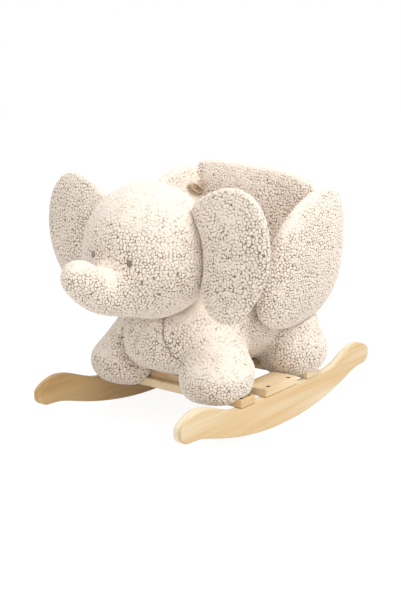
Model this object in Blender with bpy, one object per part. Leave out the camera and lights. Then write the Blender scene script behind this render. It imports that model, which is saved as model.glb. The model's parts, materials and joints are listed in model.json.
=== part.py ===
"""A child's plush rocking elephant on two wooden rockers.

Two rockers are joined by two crossbars and carry two footrests. A plywood base
board lies on the crossbars and holds a small wooden frame: two uprights, a
seat board, a neck board and a back board. The stuffed body, head, legs, side
wings, backrest and seat pad are built round that frame.

The toy faces -Y, its left side is +X, and the floor is at z = 0.
"""

import math

import bmesh
import bpy
from mathutils import Matrix, Vector
from mathutils.bvhtree import BVHTree

MM = 0.001

# Clearance between two pieces that touch
CLEAR = 0.3 * MM

# Rockers
ROCKER_LENGTH = 576 * MM
ROCKER_THICKNESS = 16 * MM
ROCKER_SPACING = 294 * MM
ROCKER_ARC_RADIUS = 702 * MM
ROCKER_ARC_HALF = 202 * MM
ROCKER_REST_FLAT = 36 * MM
ROCKER_DECK_HEIGHT = 59 * MM
ROCKER_DECK_HALF = 135 * MM
ROCKER_HUMP_HEIGHT = 86.5 * MM
ROCKER_HUMP_FROM_TIP = 45 * MM
ROCKER_TIP_UNDERSIDE = 41 * MM
ROCKER_EDGE_ROUND = 2.5 * MM

# Crossbars and footrests, cut from one slat thickness
SLAT_THICKNESS = 14 * MM
CROSSBAR_WIDTH = 38 * MM
FRONT_CROSSBAR_Y = -117 * MM
REAR_CROSSBAR_Y = 82 * MM
FOOTREST_LENGTH = 96 * MM
FOOTREST_DEPTH = 50 * MM
FOOTREST_Y = -18.5 * MM
FOOTREST_CORNER = 10 * MM
SLAT_EDGE_ROUND = 1.2 * MM

# Plywood inside
PLY_THICKNESS = 12 * MM
BASE_HALF_WIDTH = 64 * MM
BASE_FRONT_SETBACK = 11 * MM
BASE_REAR_OVERHANG = 11 * MM
UPRIGHT_HALF_WIDTH = 62 * MM
UPRIGHT_HEIGHT = 104 * MM
FRONT_UPRIGHT_Y = -99 * MM
REAR_UPRIGHT_Y = 106 * MM
NECK_HALF_WIDTH = 28 * MM
NECK_BOARD_TOP = 318 * MM
BACK_HALF_WIDTH = 70 * MM
BACK_BOARD_TOP = 382 * MM
FRAME_BOARD_BOTTOM = 110 * MM

# Screws
SCREW_HEAD_RADIUS = 3.6 * MM
SCREW_SHANK_RADIUS = 1.9 * MM
SCREW_SINK = 3.0 * MM
SLAT_SCREW_LENGTH = 34 * MM
BASE_SCREW_LENGTH = 24 * MM
FRAME_SCREW_LENGTH = 36 * MM
CROSSBAR_SCREW_SPREAD = 11 * MM
FOOTREST_SCREW_INSET = 17 * MM
BASE_SCREW_X = 50 * MM
SEAT_SCREW_X = 40 * MM
UPRIGHT_SCREW_X = 30 * MM
NECK_SCREW_X = 14 * MM
BACK_SCREW_X = 40 * MM
FRAME_SCREW_HEIGHT = 150 * MM

# Stuffed body
BODY_FRONT = -183 * MM
BODY_REAR = 176 * MM
BODY_HALF_WIDTH = 123 * MM
BODY_TOP = 224 * MM
BODY_BOTTOM = 79 * MM
BODY_FULLNESS = 2.7
BODY_DRAWN_IN = 1.0
BODY_WIDEST_RAISE = 14 * MM

# Head
HEAD_Y = -175 * MM
HEAD_HEIGHT = 300.5 * MM
HEAD_HALF_WIDTH = 107 * MM
HEAD_HALF_LENGTH = 100 * MM
HEAD_HALF_HEIGHT = 108.5 * MM
CHEEK_FULLNESS = 0.2

# Trunk, a tapering tube that curls up at its tip
TRUNK_REACH = 358 * MM
TRUNK_TIP_RADIUS = 28.5 * MM
TRUNK_TIP_HEIGHT = 279 * MM
TRUNK_ROOT_RADIUS = 44 * MM
TRUNK_ROOT_HEIGHT = 242 * MM
TRUNK_ROOT_INSIDE = 22 * MM
TRUNK_ROOT_PULL = 150 * MM
TRUNK_TIP_PULL = 120 * MM
TRUNK_TIP_LIFT = 110 * MM

# Ears
EAR_Y = -171 * MM
EAR_HALF_THICKNESS = 15 * MM
EAR_TOP = 411 * MM
EAR_BOTTOM = 198 * MM
EAR_OUTER = 228 * MM
EAR_NOSE = 3.5 * MM
EAR_SEAM_GAP = 1.1 * MM
RIGHT_EAR_RAISE = 10 * MM

# Legs
FRONT_FOOT_X = 97.5 * MM
FRONT_FOOT_Y = -125 * MM
REAR_FOOT_X = 110 * MM
REAR_FOOT_Y = 86 * MM
REAR_FOOT_LENGTHENING = 1.06
FRONT_HIP_SPREAD = 0.4
FRONT_LEG_LEAN_BACK = 0.28
FOOT_RADIUS = 60.5 * MM
FOOT_BOTTOM = 59.5 * MM
FRONT_FOOT_MIDDLE = 99 * MM
REAR_FOOT_MIDDLE = 107 * MM
LEG_TOP_BELOW_BACK = 12 * MM
REAR_LEG_LEAN_FORWARD = 0.5
FOOT_SAG = math.radians(6)

# A leg above its foot: share of the foot's radius, share of the height up to its top,
# and share of the foot's radius by which its axis leans towards the middle plane
FRONT_HIP = (
    (0.985, 0.08, 0.01),
    (0.93, 0.16, 0.03),
    (0.84, 0.24, 0.07),
    (0.77, 0.32, 0.12),
    (0.71, 0.42, 0.20),
    (0.64, 0.54, 0.30),
    (0.56, 0.68, 0.41),
    (0.46, 0.82, 0.50),
    (0.31, 0.93, 0.56),
    (0.1, 1.0, 0.60),
)
REAR_HIP = (
    (0.985, 0.13, 0.04),
    (0.93, 0.28, 0.10),
    (0.88, 0.42, 0.14),
    (0.84, 0.58, 0.20),
    (0.74, 0.74, 0.25),
    (0.56, 0.88, 0.30),
    (0.34, 0.96, 0.33),
    (0.1, 1.0, 0.34),
)

# Side wings of the seat
WING_X = 144 * MM
WING_Y = 48 * MM
WING_MIDDLE_HEIGHT = 283 * MM
WING_LENGTH = 240 * MM
WING_HEIGHT = 238 * MM
WING_HALF_THICKNESS = 29 * MM
WING_LEAN = math.radians(4)

# Backrest
BACKREST_Y = 122 * MM
BACKREST_HALF_WIDTH = 124 * MM
BACKREST_TOP = 417 * MM
BACKREST_BOTTOM = 190 * MM
BACKREST_HALF_THICKNESS = 25 * MM
BACKREST_RECLINE = math.radians(3)

# The stuffed seat shell settles a little towards the left, as the photographed toy's does
SEAT_ROLL = math.radians(4)
WING_ROLL_HEIGHT = 200 * MM
BACKREST_ROLL_HEIGHT = 360 * MM

# Seat pad
SEAT_PAD_HALF_WIDTH = 104 * MM
SEAT_PAD_FRONT = -74 * MM
SEAT_PAD_REAR = 100 * MM
SEAT_PAD_THICKNESS = 30 * MM

# Eyes, small padded stitching, a little to the left of the middle and lower on that side
EYE_SPREAD = 35 * MM
EYE_SHIFT = 7 * MM
EYE_HEIGHT = 300.4 * MM
EYE_ROLL = math.radians(6.5)
EYE_HALF_WIDTH = 4.2 * MM
EYE_HALF_HEIGHT = 6 * MM
EYE_PROUD = 1.6 * MM

# Strap loop, sewn into the crease between the right wing and the backrest
LOOP_HEIGHT = 377 * MM
LOOP_RISE = math.radians(25)
LOOP_LENGTH = 38 * MM
LOOP_WIDTH = 14 * MM
LOOP_STRAP = 8 * MM
LOOP_STRAP_THICKNESS = 2 * MM
LOOP_WING_GAP = 1.2 * MM
LOOP_BACKREST_GAP = 0.7 * MM

# Heights and places that follow from the sizes above
SLAT_BOTTOM = ROCKER_DECK_HEIGHT + CLEAR
SLAT_TOP = SLAT_BOTTOM + SLAT_THICKNESS
BASE_BOTTOM = SLAT_TOP + CLEAR
BASE_TOP = BASE_BOTTOM + PLY_THICKNESS
BOARD_FOOT = BASE_TOP + CLEAR
UPRIGHT_TOP = BOARD_FOOT + UPRIGHT_HEIGHT
SEAT_BOARD_BOTTOM = UPRIGHT_TOP + CLEAR
SEAT_BOARD_TOP = SEAT_BOARD_BOTTOM + PLY_THICKNESS
OUTER_HALF_WIDTH = (ROCKER_SPACING + ROCKER_THICKNESS) / 2
ROCKER_X = ROCKER_SPACING / 2
HALF_LENGTH = ROCKER_LENGTH / 2
HEAD_CENTRE = Vector((0, HEAD_Y, HEAD_HEIGHT))
HEAD_RADII = Vector((HEAD_HALF_WIDTH, HEAD_HALF_LENGTH, HEAD_HALF_HEIGHT))
FRONT_FOOT = Vector((FRONT_FOOT_X, FRONT_FOOT_Y, FRONT_FOOT_MIDDLE))
REAR_FOOT = Vector((REAR_FOOT_X, REAR_FOOT_Y, REAR_FOOT_MIDDLE))
LEG_TOP = BODY_TOP - LEG_TOP_BELOW_BACK
WING_CENTRE = Vector((WING_X, WING_Y, WING_MIDDLE_HEIGHT))
# The trunk reaches past the rockers in front, so the middle of the whole toy lies ahead of theirs
ORIGIN_SHIFT = (TRUNK_REACH - HALF_LENGTH) / 2
EAR_AXIS_X = HEAD_RADII.x + CLEAR + EAR_NOSE
SIDES = (("left", 1), ("right", -1))


def board(half_width, front, rear, bottom, top):
    return Vector((-half_width, front, bottom)), Vector((half_width, rear, top))


UPRIGHT_FRONT_FACE = FRONT_UPRIGHT_Y - PLY_THICKNESS / 2
UPRIGHT_REAR_FACE = REAR_UPRIGHT_Y + PLY_THICKNESS / 2
BOARDS = {
    "base_board": board(
        BASE_HALF_WIDTH,
        FRONT_CROSSBAR_Y - CROSSBAR_WIDTH / 2 + BASE_FRONT_SETBACK,
        REAR_CROSSBAR_Y + CROSSBAR_WIDTH / 2 + BASE_REAR_OVERHANG,
        BASE_BOTTOM,
        BASE_TOP,
    ),
    "front_upright": board(
        UPRIGHT_HALF_WIDTH, UPRIGHT_FRONT_FACE, UPRIGHT_FRONT_FACE + PLY_THICKNESS, BOARD_FOOT, UPRIGHT_TOP
    ),
    "rear_upright": board(
        UPRIGHT_HALF_WIDTH, UPRIGHT_REAR_FACE - PLY_THICKNESS, UPRIGHT_REAR_FACE, BOARD_FOOT, UPRIGHT_TOP
    ),
    "seat_board": board(
        UPRIGHT_HALF_WIDTH, UPRIGHT_FRONT_FACE, UPRIGHT_REAR_FACE, SEAT_BOARD_BOTTOM, SEAT_BOARD_TOP
    ),
    "neck_board": board(
        NECK_HALF_WIDTH,
        UPRIGHT_FRONT_FACE - CLEAR - PLY_THICKNESS,
        UPRIGHT_FRONT_FACE - CLEAR,
        FRAME_BOARD_BOTTOM,
        NECK_BOARD_TOP,
    ),
    "back_board": board(
        BACK_HALF_WIDTH,
        UPRIGHT_REAR_FACE + CLEAR,
        UPRIGHT_REAR_FACE + CLEAR + PLY_THICKNESS,
        FRAME_BOARD_BOTTOM,
        BACK_BOARD_TOP,
    ),
}

# Colours: base colour, roughness
PALE_WOOD = ("pale_wood", (0.80, 0.62, 0.38), 0.55)
PLYWOOD = ("plywood", (0.66, 0.47, 0.27), 0.65)
FLEECE = ("cream_fleece", (0.80, 0.70, 0.59), 0.95)
STEEL = ("dark_steel", (0.10, 0.09, 0.08), 0.4)
STITCHING = ("grey_stitching", (0.25, 0.23, 0.22), 0.8)
STRAP = ("tan_strap", (0.55, 0.38, 0.20), 0.6)


def clear_scene():
    for old in list(bpy.data.objects):
        bpy.data.objects.remove(old, do_unlink=True)


def finish_of(finish):
    """The material of a finish, made the first time it is asked for."""
    name, colour, roughness = finish
    material = bpy.data.materials.get(name)
    if material is None:
        material = bpy.data.materials.new(name)
        material.use_nodes = True
        shader = material.node_tree.nodes["Principled BSDF"]
        shader.inputs["Base Color"].default_value = (*colour, 1)
        shader.inputs["Roughness"].default_value = roughness
        shader.inputs["Metallic"].default_value = 1.0 if finish is STEEL else 0.0
    return material


def place(name, bm, finish, toy, origin=(0, 0, 0), smooth=True):
    """A mesh built in the toy's own frame becomes an object whose origin is at the point given."""
    bmesh.ops.recalc_face_normals(bm, faces=bm.faces)
    if bm.calc_volume(signed=True) < 0:
        bmesh.ops.reverse_faces(bm, faces=bm.faces)
    bmesh.ops.translate(bm, verts=bm.verts, vec=-Vector(origin))
    mesh = bpy.data.meshes.new(name)
    bm.to_mesh(mesh)
    bm.free()
    if smooth:
        mesh.shade_smooth()
        mesh.set_sharp_from_angle(angle=math.radians(40))
    obj = bpy.data.objects.new(name, mesh)
    bpy.context.scene.collection.objects.link(obj)
    obj.location = origin
    obj.parent = toy
    mesh.materials.append(finish_of(finish))
    return obj


def as_cutter(obj, grow=CLEAR):
    """A copy of a piece, grown by the clearance, that cuts its neighbours. Both get the same triangles first."""
    skin = bmesh.new()
    skin.from_mesh(obj.data)
    bmesh.ops.triangulate(skin, faces=skin.faces)
    skin.to_mesh(obj.data)
    skin.free()
    cutter = bpy.data.objects.new("cut_by_" + obj.name, obj.data.copy())
    bpy.context.scene.collection.objects.link(cutter)
    cutter.location = obj.location
    cutter.parent = obj.parent
    displace = cutter.modifiers.new("grow", "DISPLACE")
    displace.strength = grow
    displace.mid_level = 0.0
    cutter.hide_render = True
    cutter.display_type = "WIRE"
    return cutter


def box_cutter(name, low, high, toy, grow=CLEAR):
    """A box grown by the clearance, for the pocket of a board."""
    margin = Vector((grow, grow, grow))
    cutter = place(name, box_mesh(Vector(low) - margin, Vector(high) + margin), PLYWOOD, toy)
    cutter.hide_render = True
    cutter.display_type = "WIRE"
    return cutter


def cut(obj, *cutters):
    for cutter in cutters:
        boolean = obj.modifiers.new("cut", "BOOLEAN")
        boolean.operation = "DIFFERENCE"
        boolean.solver = "EXACT"
        boolean.object = cutter


def bevel(obj, width, segments, angle=40):
    modifier = obj.modifiers.new("rounded edges", "BEVEL")
    modifier.width = width
    modifier.segments = segments
    modifier.limit_method = "ANGLE"
    modifier.angle_limit = math.radians(angle)


def box_mesh(low, high):
    low = Vector(low)
    high = Vector(high)
    bm = bmesh.new()
    bmesh.ops.create_cube(bm, size=1)
    size = high - low
    bmesh.ops.scale(bm, verts=bm.verts, vec=size)
    bmesh.ops.translate(bm, verts=bm.verts, vec=(low + high) / 2)
    return bm


def hermite(start, start_slope, end, end_slope, steps):
    """Points of a smooth curve between two points with given tangents, without the last one."""
    points = []
    for i in range(steps):
        t = i / steps
        a = 2 * t**3 - 3 * t**2 + 1
        b = t**3 - 2 * t**2 + t
        c = -2 * t**3 + 3 * t**2
        d = t**3 - t**2
        points.append(start * a + start_slope * b + end * c + end_slope * d)
    return points


def closed_spline(points, count):
    """Evenly numbered points on a smooth closed curve through the points given."""
    n = len(points)
    result = []
    for i in range(count):
        s = i * n / count
        k = int(s)
        t = s - k
        p0, p1, p2, p3 = (points[(k + j) % n] for j in (-1, 0, 1, 2))
        result.append(
            0.5
            * (
                2 * p1
                + (p2 - p0) * t
                + (2 * p0 - 5 * p1 + 4 * p2 - p3) * t**2
                + (3 * p1 - p0 - 3 * p2 + p3) * t**3
            )
        )
    return result


def extruded(outline, axis_low, axis_high, to_world):
    """A flat outline drawn at one place along an axis and pulled to another."""
    bm = bmesh.new()
    face = bm.faces.new([bm.verts.new(to_world(p, axis_low)) for p in outline])
    pulled = bmesh.ops.extrude_face_region(bm, geom=[face])
    moved = [v for v in pulled["geom"] if isinstance(v, bmesh.types.BMVert)]
    shift = to_world(outline[0], axis_high) - to_world(outline[0], axis_low)
    bmesh.ops.translate(bm, verts=moved, vec=shift)
    return bm


def loft(rings):
    """A closed skin over a row of rings with the same number of points, with flat ends."""
    bm = bmesh.new()
    rows = [[bm.verts.new(p) for p in ring] for ring in rings]
    count = len(rows[0])
    for first, second in zip(rows, rows[1:]):
        for i in range(count):
            j = (i + 1) % count
            bm.faces.new((first[i], first[j], second[j], second[i]))
    bm.faces.new(rows[0])
    bm.faces.new(rows[-1])
    bmesh.ops.triangulate(bm, faces=[f for f in bm.faces if len(f.verts) > 4])
    return bm


def ball_mesh(across, around, shape):
    """A UV sphere of radius 1 whose points are moved by a rule."""
    bm = bmesh.new()
    bmesh.ops.create_uvsphere(bm, u_segments=around, v_segments=across, radius=1)
    for v in bm.verts:
        v.co = shape(v.co.copy())
    return bm


def padded_panel(outline, half_thickness, to_world, around=32, across=10, fullness=0.8):
    """A stuffed panel: an outline with a crown on both faces and a thin rim at its seam.

    The outline is a list of 2-D points, drawn round the panel's middle.
    """
    edge = closed_spline([Vector(p) for p in outline], around)
    middle = sum(edge, Vector((0, 0))) / len(edge)

    def shape(p):
        ring = min(1.0, math.hypot(p.x, p.y))
        turn = math.atan2(p.y, p.x) / math.tau * around
        at = edge[round(turn) % around]
        flat = middle + (at - middle) * ring
        lift = math.copysign(abs(p.z) ** fullness, p.z) * half_thickness
        return to_world(flat, lift)

    return ball_mesh(across, around, shape)


# Rockers

def rocker_outline():
    """The side view of a rocker, as points (y, z) going round it."""
    start = math.asin(ROCKER_REST_FLAT / 2 / ROCKER_ARC_RADIUS)
    stop = math.asin(ROCKER_ARC_HALF / ROCKER_ARC_RADIUS)
    lift = ROCKER_ARC_RADIUS * math.cos(start)
    steps = 9
    half = []
    for i in range(steps + 1):
        turn = start + (stop - start) * i / steps
        half.append(Vector((ROCKER_ARC_RADIUS * math.sin(turn), lift - ROCKER_ARC_RADIUS * math.cos(turn))))
    arc_end = half.pop()
    along = Vector((math.cos(stop), math.sin(stop)))
    under = Vector((HALF_LENGTH - 32 * MM, ROCKER_TIP_UNDERSIDE))
    heel = Vector((HALF_LENGTH - 18 * MM, ROCKER_TIP_UNDERSIDE + 0.4 * MM))
    tip_low = Vector((HALF_LENGTH, ROCKER_TIP_UNDERSIDE + 14 * MM))
    tip_high = Vector((HALF_LENGTH, ROCKER_TIP_UNDERSIDE + 24 * MM))
    hump = Vector((HALF_LENGTH - ROCKER_HUMP_FROM_TIP, ROCKER_HUMP_HEIGHT))
    deck = Vector((ROCKER_DECK_HALF, ROCKER_DECK_HEIGHT))
    out = Vector((1, 0))
    up = Vector((0, 1))
    half += hermite(arc_end, along * (under - arc_end).length, under, out * (under - arc_end).length, 5)
    half += [under]
    half += hermite(heel, out * 20 * MM, tip_low, up * 20 * MM, 4)
    half += [tip_low]
    half += hermite(tip_high, up * 28 * MM, hump, -out * 48 * MM, 6)
    half += hermite(hump, -out * (hump.x - deck.x), deck, -out * (hump.x - deck.x), 9)
    half += [deck]
    return half + [Vector((-p.x, p.y)) for p in reversed(half)]


def make_rocker(name, side, toy):
    low = side * ROCKER_X - ROCKER_THICKNESS / 2
    bm = extruded(rocker_outline(), low, low + ROCKER_THICKNESS, lambda p, x: Vector((x, p.x, p.y)))
    rocker = place(name, bm, PALE_WOOD, toy)
    bevel(rocker, ROCKER_EDGE_ROUND, 2)
    return rocker


# Slats

def make_crossbar(name, y, toy):
    low = (-OUTER_HALF_WIDTH, y - CROSSBAR_WIDTH / 2, SLAT_BOTTOM)
    high = (OUTER_HALF_WIDTH, y + CROSSBAR_WIDTH / 2, SLAT_TOP)
    crossbar = place(name, box_mesh(low, high), PALE_WOOD, toy)
    bevel(crossbar, SLAT_EDGE_ROUND, 1)
    return crossbar


def make_footrest(name, side, toy):
    """A short board on the inner top edge of a rocker, with its inner corners rounded."""
    outer = OUTER_HALF_WIDTH
    inner = OUTER_HALF_WIDTH - FOOTREST_DEPTH
    front = FOOTREST_Y - FOOTREST_LENGTH / 2
    rear = FOOTREST_Y + FOOTREST_LENGTH / 2
    r = FOOTREST_CORNER
    outline = [Vector((outer, front)), Vector((outer, rear))]
    for centre, first in ((Vector((inner + r, rear - r)), 90), (Vector((inner + r, front + r)), 180)):
        for step in range(5):
            turn = math.radians(first + 90 * step / 4)
            outline.append(centre + Vector((math.cos(turn), math.sin(turn))) * r)
    bm = extruded(outline, SLAT_BOTTOM, SLAT_TOP, lambda p, z: Vector((side * p.x, p.y, z)))
    footrest = place(name, bm, PALE_WOOD, toy)
    bevel(footrest, SLAT_EDGE_ROUND, 1, 60)
    return footrest


# Screws

def screw_mesh(tip, towards_head, length, sides, grow=0.0):
    """A countersunk screw. With grow it is the hole that the screw sits in, open above the head."""
    head = SCREW_HEAD_RADIUS + grow
    shank = SCREW_SHANK_RADIUS + grow
    above = 2 * MM if grow else 0.0
    profile = [
        (shank * 0.4, -grow),
        (shank, 3 * MM - grow),
        (shank, length - SCREW_SINK),
        (head, length - 0.4 * MM),
        (head, length + above),
    ]
    turn = Vector((0, 0, 1)).rotation_difference(Vector(towards_head)).to_matrix().to_4x4()
    matrix = Matrix.Translation(Vector(tip)) @ turn
    rings = []
    for radius, height in profile:
        ring = []
        for i in range(sides):
            a = math.tau * i / sides
            ring.append(matrix @ Vector((radius * math.cos(a), radius * math.sin(a), height)))
        rings.append(ring)
    return loft(rings)


def make_screw(name, head_face, into, length, holders, toy, sides=10):
    """A screw whose head lies 0.3 mm under a face, and its hole in each board that it holds."""
    into = Vector(into)
    tip = Vector(head_face) + into * (length + CLEAR)
    screw = place(name, screw_mesh(tip, -into, length, sides), STEEL, toy)
    hole = place("hole_of_" + name, screw_mesh(tip, -into, length, sides, CLEAR), STEEL, toy)
    hole.hide_render = True
    hole.display_type = "WIRE"
    for board in holders:
        cut(board, hole)
    return screw


# Plush forms

def body_mesh():
    """A full barrel along Y, flat where it lies on the base board and drawn in below between the legs."""
    rings = []
    steps = 13
    around = 28
    middle = (BODY_FRONT + BODY_REAR) / 2
    half_length = (BODY_REAR - BODY_FRONT) / 2
    for i in range(steps):
        s = math.sin((i / (steps - 1) - 0.5) * math.pi * 0.985)
        fill = (1 - abs(s) ** 3.2) ** (1 / 2.4)
        low = BODY_BOTTOM - 5 * MM
        half_height = (BODY_TOP - low) / 2 * (0.12 + 0.88 * fill)
        centre_z = (BODY_TOP + low) / 2 + (4 * MM if s < 0 else 0)
        half_width = BODY_HALF_WIDTH * fill
        if s < 0:
            half_width *= 1 - 0.10 * abs(s)
        mid_share = 1 - s * s
        raised = BODY_WIDEST_RAISE * mid_share * fill
        ring = []
        for j in range(around):
            a = math.tau * j / around
            above = math.sin(a) > 0
            fullness = BODY_FULLNESS - (0 if above else BODY_DRAWN_IN * mid_share)
            c = math.copysign(abs(math.cos(a)) ** (2 / fullness), math.cos(a))
            d = math.copysign(abs(math.sin(a)) ** (2 / fullness), math.sin(a))
            reach = half_height - raised if above else half_height + raised
            z = max(centre_z + raised + reach * d, BODY_BOTTOM)
            ring.append(Vector((half_width * c, middle + half_length * s, z)))
        rings.append(ring)
    return loft(rings)


def cheek(height):
    """How much wider than a ball the head is, at a height from -1 to 1."""
    return 1 + CHEEK_FULLNESS * max(0.0, -height) * (1 - abs(height))


def head_mesh():
    """A ball, a little fuller in the cheeks than at the crown."""

    def shape(p):
        full = cheek(p.z)
        return HEAD_CENTRE + Vector((p.x * full, p.y * full, p.z)) * HEAD_RADII

    return ball_mesh(16, 28, shape)


def trunk_mesh():
    """Rings along a curve from inside the head to the rounded, lifted tip."""
    tip_centre = Vector((0, -TRUNK_REACH + TRUNK_TIP_RADIUS, TRUNK_TIP_HEIGHT))
    root = Vector((0, HEAD_Y - TRUNK_ROOT_INSIDE, TRUNK_ROOT_HEIGHT))
    root_slope = Vector((0, -TRUNK_ROOT_PULL, 0))
    tip_slope = Vector((0, -TRUNK_TIP_PULL, TRUNK_TIP_LIFT))
    path = hermite(root, root_slope, tip_centre, tip_slope, 8) + [tip_centre]
    around = 20
    rings = []
    for i, point in enumerate(path):
        t = i / (len(path) - 1)
        ahead = path[min(i + 1, len(path) - 1)]
        behind = path[max(i - 1, 0)]
        along = (ahead - behind).normalized()
        radius = TRUNK_ROOT_RADIUS + (TRUNK_TIP_RADIUS - TRUNK_ROOT_RADIUS) * t**0.9
        rings.append(ring_about(point, along, radius, around))
    along = Vector((0, -1, 0.35)).normalized()
    for step in range(1, 5):
        turn = math.radians(90 * step / 4.25)
        centre = tip_centre + along * TRUNK_TIP_RADIUS * math.sin(turn)
        rings.append(ring_about(centre, along, TRUNK_TIP_RADIUS * math.cos(turn), around))
    return loft(rings)


def ring_about(centre, along, radius, around):
    side = Vector((1, 0, 0))
    up = side.cross(along).normalized()
    ring = []
    for j in range(around):
        a = math.tau * j / around
        ring.append(centre + side * radius * math.cos(a) + up * radius * math.sin(a))
    return ring


def head_half_width(y, z):
    """How far the head's side is from its middle plane, at one place."""
    dy = (y - HEAD_CENTRE.y) / HEAD_RADII.y
    dz = (z - HEAD_CENTRE.z) / HEAD_RADII.z
    full = cheek(dz)
    return HEAD_RADII.x * full * math.sqrt(max(0.0, 1 - dz * dz - (dy / full) ** 2))


def ear_mesh(side):
    """A tall padded flap whose inner edge follows the head along the seam."""
    height = EAR_TOP - EAR_BOTTOM
    reach = EAR_OUTER - HEAD_RADII.x

    def at(out, up):
        return (HEAD_RADII.x + out * reach, EAR_BOTTOM + up * height)

    outline = [at(1.0, 0.57), at(0.93, 0.79), at(0.74, 0.94), at(0.44, 1.0), at(0.16, 0.965)]
    outline += [at(-0.08, 0.90), at(-0.20, 0.83)]
    for up in (0.76, 0.66, 0.56, 0.46, 0.35):
        z = EAR_BOTTOM + up * height
        outline.append((head_half_width(EAR_Y, z) + EAR_SEAM_GAP, z))
    outline += [at(-0.04, 0.23), at(0.03, 0.09), at(0.25, 0.0)]
    outline += [at(0.51, 0.03), at(0.75, 0.16), at(0.94, 0.36)]
    raised = RIGHT_EAR_RAISE if side < 0 else 0

    def to_world(p, lift):
        return Vector((side * p.x, EAR_Y + lift, p.y + raised * min(1.0, max(0.0, p.x - HEAD_RADII.x) / reach * 2)))

    return padded_panel(outline, EAR_HALF_THICKNESS, to_world, around=34)


def leg_mesh(side, foot, hip, length_share, hip_spread, lean_back):
    """A stub leg round a leaning axis: a full foot, whose inner side sags, and a softer hip above it."""
    drop = foot.z - FOOT_BOTTOM
    rise = LEG_TOP - foot.z
    profile = []
    for step in range(5):
        a = math.radians(-78 + 78 * step / 4)
        depth = drop * math.sin(a) / math.sin(math.radians(78))
        profile.append((FOOT_RADIUS * math.cos(a) ** 0.55, foot.z + depth, 0))
    for share, up, lean in hip:
        profile.append((FOOT_RADIUS * share, foot.z + up * rise, FOOT_RADIUS * lean))
    rings = []
    for radius, z, lean in profile:
        above = max(0.0, z - foot.z) / rise
        spread = radius * hip_spread * math.sin(above * math.pi / 2)
        inward = math.copysign(lean * lean_back + spread, -foot.y)
        half_length = radius * length_share + spread
        centre = Vector((foot.x - lean, foot.y + inward, z))
        ring = []
        for j in range(22):
            a = math.tau * j / 22
            at = centre + Vector((radius * math.cos(a), half_length * math.sin(a), 0))
            at.z += min(0.0, at.x - foot.x) * math.tan(FOOT_SAG) * (1 - above)
            ring.append(Vector((side * at.x, at.y, at.z)))
        rings.append(ring)
    return loft(rings)


def rolled(p, pivot_height):
    """A point of the seat shell, turned a little about the toy's length."""
    pivot = Vector((0, 0, pivot_height))
    return pivot + Matrix.Rotation(SEAT_ROLL, 3, "Y") @ (p - pivot)


def wing_mesh(side):
    """A leaf-shaped side pad that leans outward at the top."""
    l = WING_LENGTH / 2
    h = WING_HEIGHT / 2
    outline = [
        (1.0 * l, -0.35 * h),
        (0.99 * l, 0.05 * h),
        (0.87 * l, 0.48 * h),
        (0.72 * l, 0.86 * h),
        (0.42 * l, 1.02 * h),
        (0.08 * l, 0.97 * h),
        (-0.38 * l, 0.74 * h),
        (-0.72 * l, 0.40 * h),
        (-0.86 * l, 0.0 * h),
        (-0.96 * l, -0.40 * h),
        (-0.90 * l, -0.76 * h),
        (-0.50 * l, -0.96 * h),
        (0.05 * l, -1.0 * h),
        (0.52 * l, -0.90 * h),
        (0.84 * l, -0.66 * h),
    ]
    lean = math.sin(WING_LEAN)
    rise = math.cos(WING_LEAN)

    def to_world(p, lift):
        x = WING_CENTRE.x + p.y * lean + lift * rise
        z = WING_CENTRE.z + p.y * rise - lift * lean
        return rolled(Vector((side * x, WING_CENTRE.y + p.x, z)), WING_ROLL_HEIGHT)

    return padded_panel(outline, WING_HALF_THICKNESS, to_world, around=34, fullness=0.85)


def backrest_mesh():
    """An upright cushion, fuller in the middle. Its left top corner is rounded, its right one runs into the wing."""
    w = BACKREST_HALF_WIDTH
    h = (BACKREST_TOP - BACKREST_BOTTOM) / 2
    middle = Vector((0, BACKREST_Y, (BACKREST_TOP + BACKREST_BOTTOM) / 2))
    outline = [
        (1.0 * w, 0.0),
        (0.99 * w, 0.45 * h),
        (0.93 * w, 0.82 * h),
        (0.72 * w, 0.96 * h),
        (0.36 * w, 1.0 * h),
        (0.0, 1.01 * h),
    ]
    outline += [(-0.36 * w, 1.01 * h), (-0.76 * w, 1.01 * h), (-1.06 * w, 0.96 * h), (-1.14 * w, 0.74 * h)]
    outline += [(-1.05 * w, 0.4 * h), (-w, 0.0), (-0.99 * w, -0.5 * h), (-0.9 * w, -0.9 * h), (-0.5 * w, -h)]
    outline += [(0.0, -h), (0.5 * w, -h), (0.9 * w, -0.9 * h), (0.99 * w, -0.5 * h)]
    turn = Matrix.Rotation(-BACKREST_RECLINE, 3, "X")
    return padded_panel(
        outline,
        BACKREST_HALF_THICKNESS,
        lambda p, lift: rolled(middle + turn @ Vector((p.x, lift, p.y)), BACKREST_ROLL_HEIGHT),
        around=36,
        fullness=0.6,
    )


def seat_pad_mesh():
    """A crowned cushion on top of the body, between the wings."""
    w = SEAT_PAD_HALF_WIDTH
    l = (SEAT_PAD_REAR - SEAT_PAD_FRONT) / 2
    middle = Vector((0, (SEAT_PAD_REAR + SEAT_PAD_FRONT) / 2, BODY_TOP))
    outline = [
        (w, 0),
        (0.96 * w, 0.7 * l),
        (0.72 * w, 0.95 * l),
        (0, l),
        (-0.72 * w, 0.95 * l),
        (-0.96 * w, 0.7 * l),
        (-w, 0),
        (-0.96 * w, -0.7 * l),
        (-0.72 * w, -0.95 * l),
        (0, -l),
        (0.72 * w, -0.95 * l),
        (0.96 * w, -0.7 * l),
    ]
    return padded_panel(
        outline,
        SEAT_PAD_THICKNESS,
        lambda p, lift: middle + Vector((p.x, p.y, lift)),
        around=32,
        fullness=0.75,
    )


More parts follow.
